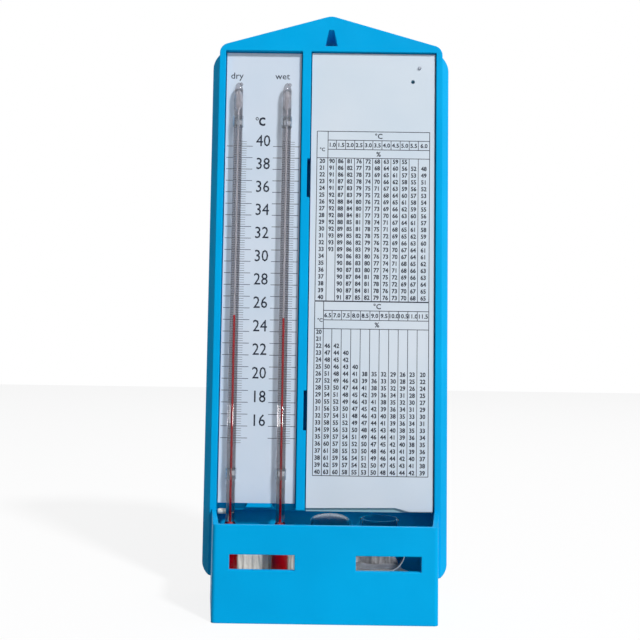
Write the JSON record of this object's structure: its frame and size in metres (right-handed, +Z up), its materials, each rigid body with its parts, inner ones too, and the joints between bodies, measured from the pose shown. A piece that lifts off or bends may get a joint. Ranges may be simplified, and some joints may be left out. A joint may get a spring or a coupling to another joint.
{
  "type": "wet and dry bulb hygrometer",
  "caption": "Wall hygrometer with a dry and a wet spirit thermometer, a humidity table, and a box that holds a glass water feeder and wick cloth.",
  "frame": {"origin": "under the middle of the bounding box, in the plane of the box's flat bottom", "axes": "+Z up to the gable's peak, +Y from the front back to the wall, +X to the right as seen from the front"},
  "size_m": [0.12, 0.05, 0.29],
  "materials": {
    "blue_moulding": "glossy moulded polystyrene, bright blue",
    "scale_glass": "white-backed glass with a black printed scale",
    "table_print": "white sheet with a black printed table",
    "cover_glass": "pale polished glass",
    "nail_steel": "dark steel",
    "rod_glass": "clear drawn glass",
    "red_spirit": "dyed red liquid",
    "ring_plastic": "clear glossy plastic",
    "feeder_glass": "clear blown glass",
    "cambric": "white woven cotton"
  },
  "bodies": {
    "case": {"base_housing": "blue_moulding", "scale_plate": "scale_glass", "table_sheet": "table_print", "table_cover": "cover_glass", "panel_nail": "nail_steel", "dry_thermometer_glass": "rod_glass", "wet_thermometer_glass": "rod_glass", "dry_bulb_spirit": "red_spirit", "wet_bulb_spirit": "red_spirit", "dry_spirit_thread": "red_spirit", "wet_spirit_thread": "red_spirit", "dry_upper_ring": "ring_plastic", "dry_lower_ring": "ring_plastic", "wet_upper_ring": "ring_plastic", "wet_lower_ring": "ring_plastic", "wick_cloth": "cambric"},
    "dry_column": {"dry_spirit_tip": "red_spirit"},
    "wet_column": {"wet_spirit_tip": "red_spirit"},
    "water_feeder": {"feeder": "feeder_glass"}
  },
  "joints": [
    {"name": "dry_column_rise", "type": "slide", "parent": "case", "child": "dry_column", "axis": [0, 0, 1], "range_m": [-0.0605, 0.0857], "deforming": ["dry_spirit_thread"]},
    {"name": "wet_column_rise", "type": "slide", "parent": "case", "child": "wet_column", "axis": [0, 0, 1], "range_m": [-0.0593, 0.0868], "deforming": ["wet_spirit_thread"]},
    {"name": "feeder_lift", "type": "slide", "parent": "case", "child": "water_feeder", "axis": [0, 0, 1], "range_m": [0, 0.06]}
  ]
}
